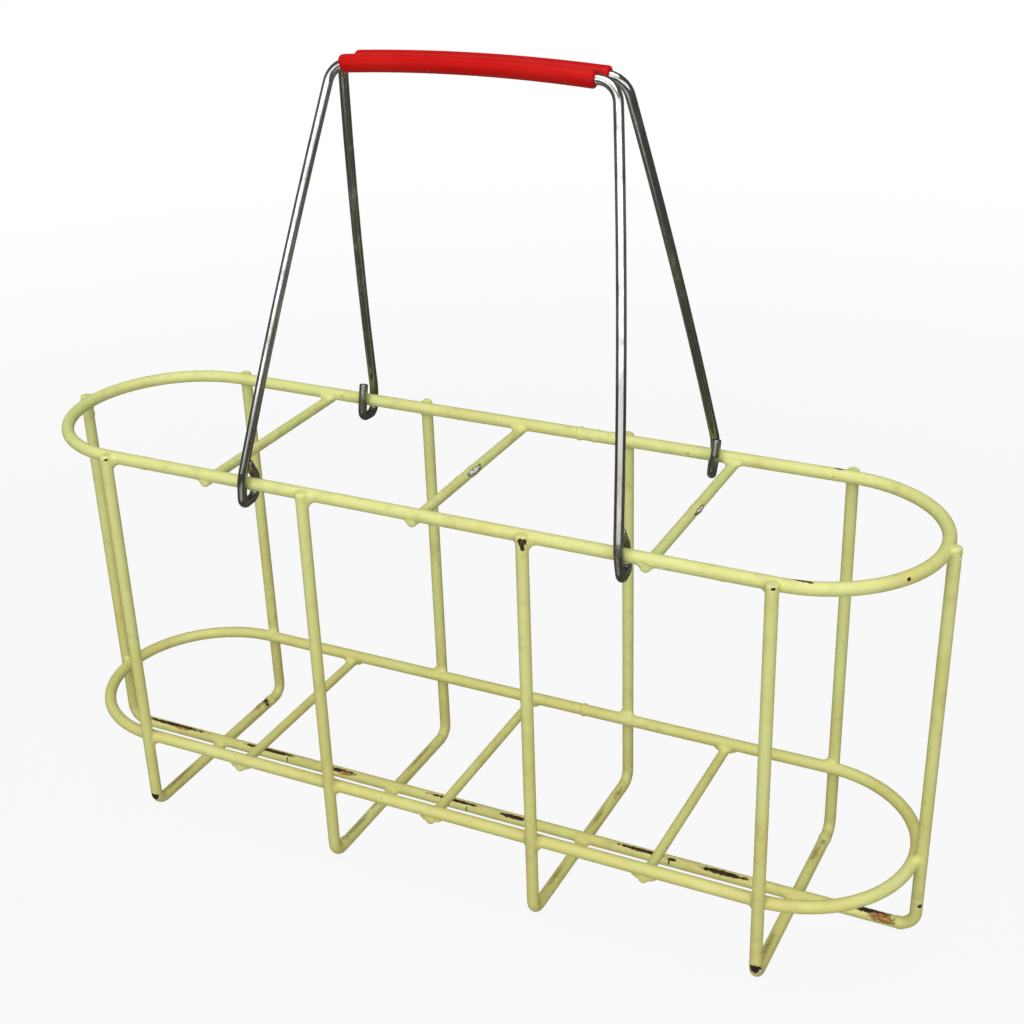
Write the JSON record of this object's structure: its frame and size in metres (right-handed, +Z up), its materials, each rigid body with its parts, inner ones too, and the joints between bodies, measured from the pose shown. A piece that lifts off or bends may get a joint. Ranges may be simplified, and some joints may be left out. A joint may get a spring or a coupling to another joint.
{
  "type": "bottle carrier basket",
  "caption": "Long narrow wire basket with a row of open bottle compartments and two hinged wire handles with sleeve grips that meet over its middle.",
  "frame": {"origin": "on the floor under the middle of the basket", "axes": "+X along the basket, +Y from the front rail to the rear rail, +Z up"},
  "size_m": [0.4146, 0.1148, 0.3549],
  "materials": {
    "coated_wire": "thick dipped plastic coat, pale yellow-green, satin, chipped and scuffed",
    "handle_steel": "bare bright wire, rubbed, with brown stain in the hooks",
    "grip_red": "soft red vinyl sleeve, satin gloss"
  },
  "bodies": {
    "basket": {"top_ring": "coated_wire", "bottom_ring": "coated_wire", "leg_frame_1": "coated_wire", "leg_frame_2": "coated_wire", "leg_frame_3": "coated_wire", "leg_frame_4": "coated_wire", "end_frame": "coated_wire", "top_divider_1": "coated_wire", "top_divider_2": "coated_wire", "top_divider_3": "coated_wire", "bottom_divider_1": "coated_wire", "bottom_divider_2": "coated_wire", "bottom_divider_3": "coated_wire"},
    "front_handle": {"front_handle": "handle_steel", "front_grip": "grip_red"},
    "rear_handle": {"rear_handle": "handle_steel", "rear_grip": "grip_red"}
  },
  "joints": [
    {"name": "front_swing", "type": "hinge", "parent": "basket", "child": "front_handle", "pos_m": [0, -0.05, 0.1833], "axis": [1, 0, 0], "range_deg": [0, 192]},
    {"name": "rear_swing", "type": "hinge", "parent": "basket", "child": "rear_handle", "pos_m": [0, 0.05, 0.1833], "axis": [-1, 0, 0], "range_deg": [0, 192]}
  ]
}
